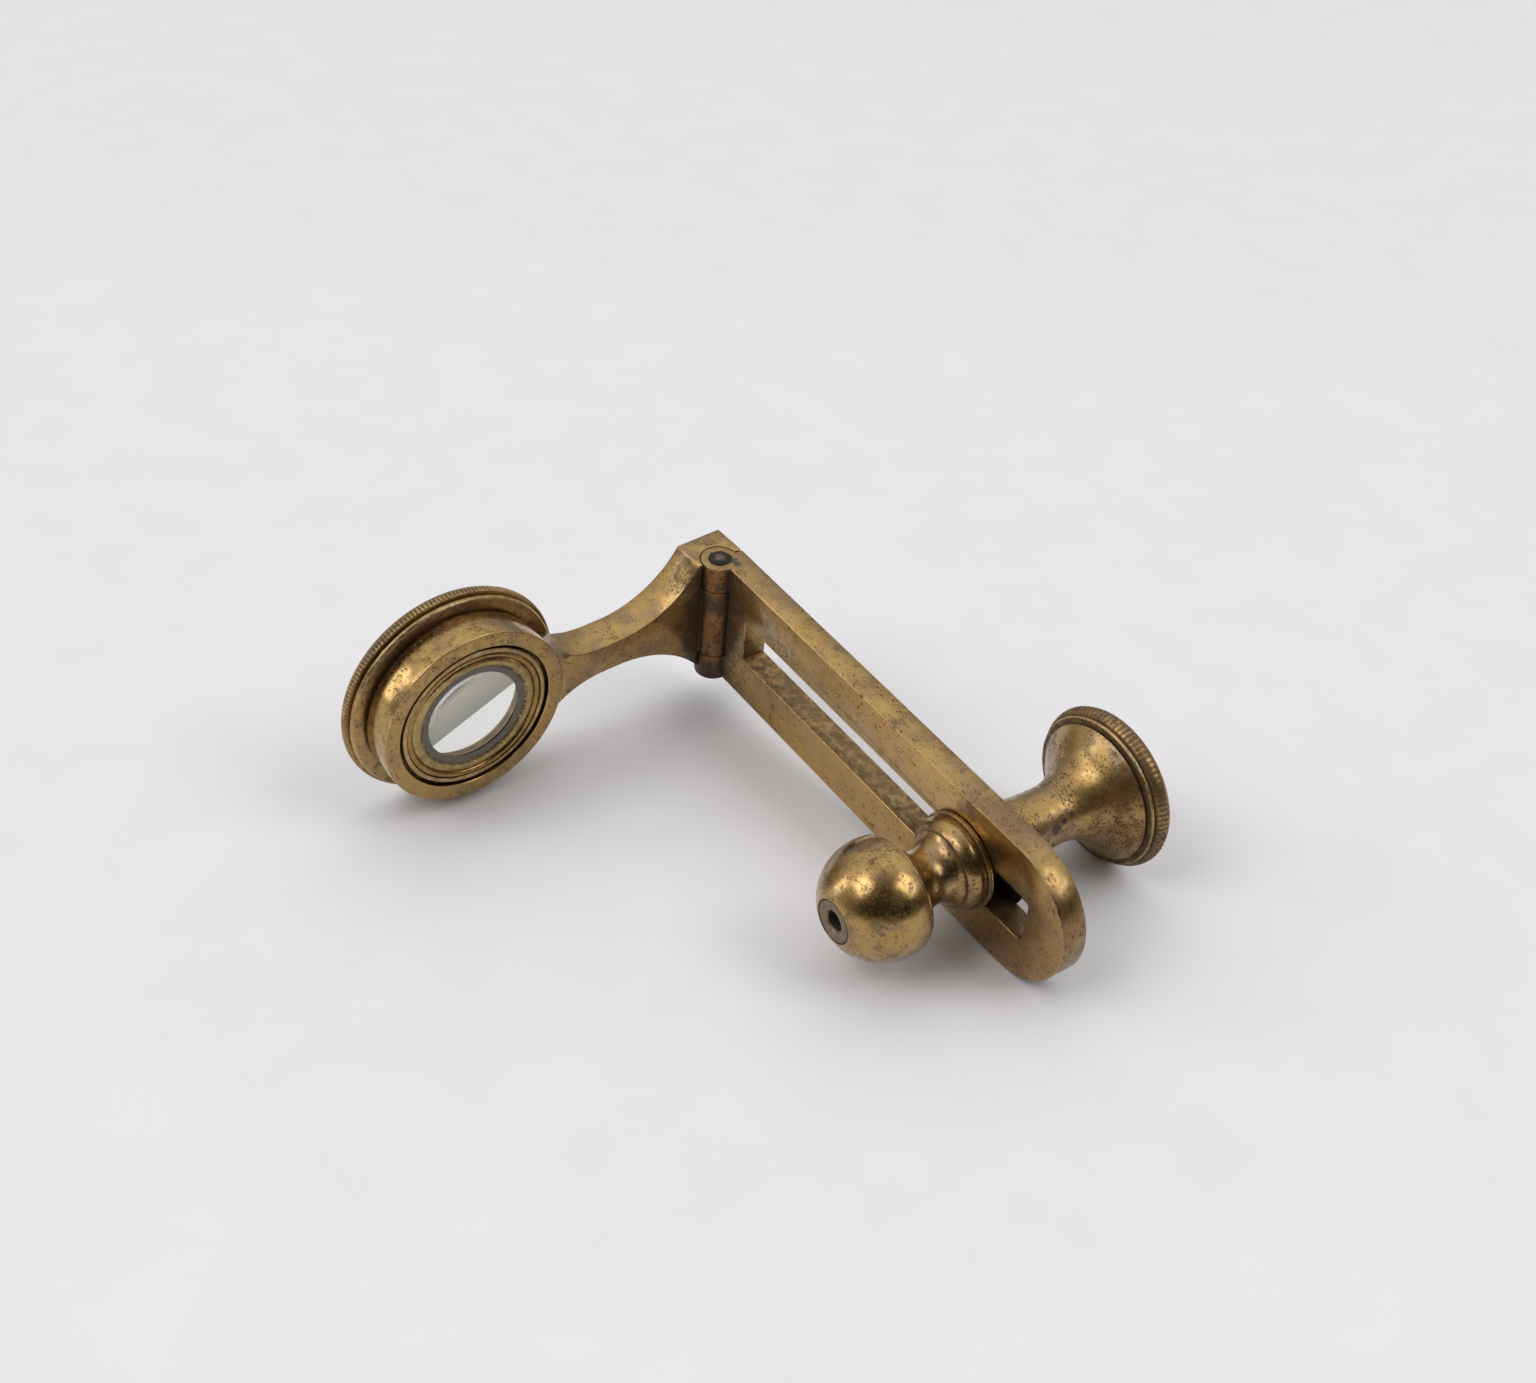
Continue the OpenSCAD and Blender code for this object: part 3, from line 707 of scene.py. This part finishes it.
# The milled rim and its back
pen.line(12.49, 5.05).line(12.6, 5.11).line(12.65, 5.3).line(12.65, 5.7).line(12.6, 5.89).line(12.45, 5.95)
pen.curve(11.95, 6.45, 11.95, 5.95, 5)
# The shallow dish on the eye's side
pen.line(10.6, 6.45, ease=0.1).line(6.0, 4.25, ease=0.1).close()
cell_turned = turn(pen, cell_teeth * 2)
cell_shape = mill(cell_turned, cell_teeth, low=5.07, high=5.93, depth=0.15, beyond=12.4)
# Both dark rings on the cell are painted shade mixed with patchy dirt, in the groove and the gap at the ring.
cell_brass = brass(
    "cell_brass", lens_axes, "turned", tone=0.55, freckles=0.5, pits=0.3, dull=0.27,
    dark_rings=[(3.4, 0.88, 1.0), (1.2, 1.0, 1.0)],
)
finish_piece(
    cell_shape, "lens_cell_milled", "cell", cell_brass, ["lens_cell"], lens_axes, sharp=60,
)

# %% [markdown]
# A thin ring screws in before the lens and holds it. Its front is softly rounded and ends in a raised lip.
# It is greyish-green towards the opening, brown crud has gathered round the opening, a dark ring of painted
# shade runs along its seam with the cell's nose, and only the crests are bright. Rings of colour by radius
# say this better than noise does.

# %% Brass of the retaining ring
CREST = (0.47, 0.34, 0.14)
DULL_CREST = (0.26, 0.19, 0.085)
GREENISH = (0.15, 0.14, 0.11)
# CRUD_AND_SHADE colours the crud round the opening and the painted shade along the seam with the cell.
CRUD_AND_SHADE = (0.10, 0.052, 0.028)
lip = Finish("lip_brass", lens_axes)
lip_patches = lip.noise(0.8, 5, 0.65)
lip_specks = lip.noise(0.25, 3, 0.7, shift=4.0)
wander = lip.radius + (lip_patches - 0.5) * 0.35
lip_flat = lip.mix(lip_patches, CREST, DULL_CREST)
lip_colour = lip.mix(lip.spread(lip.radius, 7.35, 7.5), lip_flat, lip.mix(lip_patches, GOLDEN, BROWN))
lip_inner = 1 - lip.spread(wander, 6.05, 6.25)
lip_colour = lip.mix(lip_inner, lip_colour, GREENISH)
lip_crud_and_shade = lip.ring(wander, 6.3, 0.25) * lip.spread(lip_specks + lip_patches, 0.6, 1.1)
# Painted shade: a dark ring along the seam with the cell's nose.
lip_crud_and_shade = lip_crud_and_shade.larger(lip.ring(lip.radius, 8.1, 0.14))
lip_crud_and_shade = lip_crud_and_shade.larger(lip.spread(lip_specks, 0.75, 1.0) * 0.4)
lip_brass = lip.surface(
    Base_Color=lip.mix(lip_crud_and_shade * 0.9, lip_colour, CRUD_AND_SHADE),
    Metallic=1 - 0.6 * lip_crud_and_shade - 0.3 * lip_inner,
    Roughness=0.13 + 0.25 * lip_crud_and_shade + 0.12 * lip_inner + 0.08 * lip_patches,
    Normal=lip.relief(lip_crud_and_shade + lip_patches, 0.03),
)

# %% Retaining ring
pen = Pen(5.4, 0.557)
# The rounded front, from the opening outwards
pen.line(5.4, 0.55, ease=0.04).line(6.15, 0.46).curve(7.4, 0.46, 6.775, 1.08, 10).line(7.428, 0.33)
# The lip
pen.curve(7.74, 0.15, 7.74, 0.51, 5).curve(8.052, 0.33, 7.74, 0.51, 5)
# The thread and the back, which bears on the glass
pen.line(8.1, 0.35).line(8.1, 1.0).line(7.3, 1.0).close()
finish_piece(
    turn(pen, 128), "retaining_ring_turned", "cell", lip_brass, ["retaining_ring"], lens_axes,
)

# %% [markdown]
# The lens is one piece of slightly green glass, equally round on both faces. Over its upper part lies painted
# shade with a straight edge: a grey tint that stands in for the shaded view through the lens. The painted
# shade is on the back face alone, because on both faces its edge would be seen twice, and fine dust lies on
# the front one. Light that goes through a face is tinted by the square root of its colour, so the painted
# shade is written as the square of the grey that is seen.

# %% Lens
CLEAR = (0.955, 0.97, 0.945)
# SHADE_AT_EDGE and SHADE_BEYOND are the colours of the painted shade, darkest at its straight edge.
SHADE_AT_EDGE = (0.095, 0.096, 0.068)
SHADE_BEYOND = (0.24, 0.23, 0.16)
DUST = (0.4, 0.38, 0.34)
glass = Finish("old_glass", lens_axes)
beyond_edge = glass.x - 0.412 * glass.y + 1.41
on_back = glass.spread(glass.z, 1.6, 1.7)
# Painted shade on the back face, past a straight edge.
through_shade = glass.spread(beyond_edge, -0.08, 0.08) * on_back
through_shade_colour = glass.mix(glass.spread(beyond_edge, 0.0, 4.5), SHADE_AT_EDGE, SHADE_BEYOND)
dust = glass.spread(glass.noise(0.2, 2, 0.5), 0.93, 1.0) * (1 - on_back)
tint = glass.mix(dust * 0.5, glass.mix(through_shade, CLEAR, through_shade_colour), DUST)
clear_glass = glass.surface(Base_Color=tint, Roughness=0.02 + dust * 0.2, IOR=1.52, Transmission_Weight=1.0)

pen = Pen(0.0, 0.0817)
pen.curve(7.3, 1.05, 0.0, 28.0817, 14).line(7.3, 2.25).curve(0.0, 3.2183, 0.0, -24.7817, 14)
finish_piece(turn(pen, 96), "eye_lens_ground", "cell", clear_glass, ["eye_lens"], lens_axes)

# %% [markdown]
# The ball carries the needle. It was turned in one with its neck, a lip, a rounded moulding and the thin
# disc that slides on the bar, and a stem behind them goes through the slot.

# %% Ball, neck and disc
pen = Pen(0.0, -7.8)
# The hole for the bush, from its bottom outwards
pen.line(2.4, -7.8).line(2.4, -15.8, ease=0.04).line(2.46, -15.8)
# The ball and the lip behind it
pen.curve(6.3, -10.0, 0.0, -10.0, 20).curve(6.164, -8.7, 0.0, -10.0, 5).line(6.05, -8.7, ease=0.03)
pen.curve(5.15, -7.8, 5.15, -8.7, 8).line(5.15, -7.674)
# The neck
pen.curve(3.05, -4.6, 6.35, -4.6, 12).curve(4.105, -2.612, 5.45, -4.6, 8)
# The moulding
pen.line(4.105, -2.55).line(4.2552, -2.55, ease=0.03).curve(5.0, -0.9, 2.8, -0.9, 9)
pen.curve(4.972, -0.55, 2.8, -0.9, 3)
# The disc and the stem
pen.line(5.3, -0.55, ease=0.1).line(5.3, -0.1, ease=0.06).line(1.8, -0.1).line(1.8, 11.6).line(0.0, 11.6)
ball_marks = [
    ((4.2, -2.4, -14.0), 0.7, 0.45),
    ((4.7, -1.6, -13.6), 0.35, 0.6),
    ((-2.2, -5.0, -13.2), 0.4, 0.4),
]
ball_brass = brass(
    "ball_brass", holder_axes, "turned", tone=0.52, freckles=0.6, pits=0.6, dull=0.15, marks=ball_marks,
    dark_rings=[(-8.7, 0.12, 0.8), (-7.75, 0.25, 0.6), (-2.58, 0.16, 0.8), (-0.6, 0.15, 0.7)],
)
finish_piece(
    turn(pen, 144), "ball_socket_turned", "holder",
    ball_brass, ["ball_socket"], holder_axes,
)

# %% [markdown]
# A bush of harder, greyer metal lines the hole, so that the needle doesn't wear it. The seam round it has
# filled with dirt, and the walls of the hole are painted near black as painted shade.

# %% Needle bush
GREY_BROWN = (0.17, 0.125, 0.075)
GREY_METAL = (0.28, 0.215, 0.14)
BUSH_STAIN = (0.13, 0.08, 0.045)
bush = Finish("bush_steel", holder_axes)
bush_patches = bush.noise(0.5, 6, 0.7)
bush_stain = bush.spread(bush.noise(0.9, 5, 0.6, shift=4.0), 0.55, 1.0) * 0.5
bush_colour = bush.mix(bush_stain, bush.mix(bush_patches, GREY_BROWN, GREY_METAL), BUSH_STAIN)
# Dirt in the seam round the bush, and painted shade on the walls of its hole.
bush_dirt_and_shade = bush.ring(bush.radius, 2.38, 0.22).larger(bush.spread(bush.z, -15.7, -15.3))
bush_steel = bush.surface(
    Base_Color=bush.mix(bush_dirt_and_shade * 0.93, bush_colour, NEAR_BLACK),
    Metallic=1 - 0.3 * bush_patches - 0.7 * bush_dirt_and_shade,
    Roughness=0.36 + bush_patches * 0.15 + bush_dirt_and_shade * 0.3,
    Normal=bush.relief(bush_patches, 0.02),
)

pen = Pen(1.32, -15.76)
pen.line(1.1, -15.56, ease=0.03).line(1.1, -7.8)
pen.line(2.38, -7.8).line(2.38, -15.76, ease=0.08).close(ease=0.05)
finish_piece(
    turn(pen, 96), "needle_bush_turned", "holder", bush_steel, ["needle_bush"], holder_axes,
)

# %% [markdown]
# The knob flares like the bell of a horn and ends in a milled rim, whose teeth are crowned: lowest in
# front, where thumb and finger meet it. It is turned and milled as the cell was.

# %% Knob
knob_teeth = 96
pen = Pen(0.0, 19.45)
# The dish in the end and the round edge
pen.curve(7.2, 20.65, 0.0, 41.65, 10, ease=0.08).line(8.25, 20.65).curve(8.7, 20.2, 8.25, 20.2, 5)
# The milled rim
pen.line(8.86, 20.1).line(8.9, 19.85).line(8.88, 19.5).line(8.75, 19.1).line(8.5, 18.83).line(8.1396, 18.8)
# The bead and the groove before it
pen.curve(8.3, 18.55, 8.025, 18.55, 4).curve(8.1396, 18.3, 8.025, 18.55, 4)
pen.line(7.2, 18.3).line(7.2, 18.1).line(7.6, 18.1, ease=0.07)
# The bell, the waist and the foot
pen.line(5.734, 16.6).curve(3.2, 11.6, 9.4, 11.6, 14).curve(4.2, 3.6, 35.7, 11.6, 10)
# The hole for the stem
pen.line(1.8, 3.6).line(1.8, 11.6).line(0.0, 11.6)
knob_turned = turn(pen, knob_teeth * 2)
knob_shape = mill(knob_turned, knob_teeth, low=18.82, high=20.12, depth=0.16, beyond=8.4)
knob_marks = [
    ((3.0, -1.4, 10.0), 0.55, 1.0),
    ((2.8, -1.9, 11.2), 0.4, 1.0),
    ((2.6, -2.1, 12.2), 0.35, 0.9),
    ((3.2, -2.9, 14.9), 0.25, 0.9),
    ((3.4, -6.4, 17.6), 0.35, 0.7),
]
knob_brass = brass(
    "knob_brass", holder_axes, "turned", tone=0.55, freckles=0.75, pits=1.2, dull=0.25, marks=knob_marks,
    dark_rings=[(18.2, 0.2, 1.0), (18.8, 0.13, 0.8)],
)
finish_piece(
    knob_shape, "milled_knob_turned", "holder", knob_brass, ["milled_knob"], holder_axes,
    sharp=60,
)

# %% [markdown]
# The pin is iron and has rusted. Its riveted end is worn smooth in the middle and sits in a ring of dirt.
# Its solid is right as it is, so it only gets a finish.

# %% Hinge pin
def refinish(node, material):
    """Gives a solid that stays in view its finish."""
    materials = solids[node].data.materials
    materials.clear()
    materials.append(material)
    print(node, "in", material.name)


WORN_IRON = (0.27, 0.20, 0.155)
RUSTY_IRON = (0.085, 0.052, 0.036)
PIN_DIRT = (0.035, 0.024, 0.018)
pin = Finish("rusted_pin", bar_axes)
pin_patches = pin.noise(0.5, 6, 0.7)
pin_edge = pin.spread(pin.radius + (pin_patches - 0.5) * 0.5, 0.3, 0.75)
pin_iron = pin.surface(
    Base_Color=pin.mix(pin_edge, pin.mix(pin_patches, RUSTY_IRON, WORN_IRON), PIN_DIRT),
    Metallic=0.7,
    Roughness=0.38 + pin_patches * 0.2,
    Normal=pin.relief(pin_patches, 0.06, strength=0.8),
)
refinish("hinge_pin", pin_iron)

# %% [markdown]
# The sliding block and the spring washer stay as the drawing has them. They hide between bar and knob, and
# only a dark strip of the washer shows in the slot, so they get a finish and no new shape.

# %% Block and washer
block_brass = brass("block_brass", holder_axes, tone=0.8, freckles=0.7, dull=0.4, dark_rings=[(1.5, 3.0, 0.8)])
refinish("slide_block", block_brass)

BLACKENED = (0.012, 0.011, 0.010)
WORN_BLACK = (0.050, 0.041, 0.034)
WASHER_RUST = (0.085, 0.040, 0.020)
washer = Finish("blackened_washer", holder_axes)
washer_patches = washer.noise(0.9, 5, 0.65)
washer_rust = washer.spread(washer.noise(0.35, 4, 0.7, shift=9.0) + washer_patches * 0.6, 0.85, 1.25)
washer_steel = washer.surface(
    Base_Color=washer.mix(washer_rust, washer.mix(washer_patches, BLACKENED, WORN_BLACK), WASHER_RUST),
    Metallic=0.4,
    Roughness=0.42 + washer_rust * 0.3,
    Normal=washer.relief(washer_rust, 0.03),
)
refinish("spring_washer", washer_steel)

# %% [markdown]
# The table is plain pale card, a little uneven in colour. It sets the highlights off and takes the shadow.

# %% Table finish
DARKER_CARD = (0.87, 0.858, 0.880)
PALER_CARD = (0.89, 0.878, 0.900)
card = Finish("pale_card")
card_colour = card.mix(card.noise(9.0, 4, 0.5), DARKER_CARD, PALER_CARD)
table_mesh.materials.append(card.surface(Base_Color=card_colour, Roughness=0.75, Specular_IOR_Level=0.3))
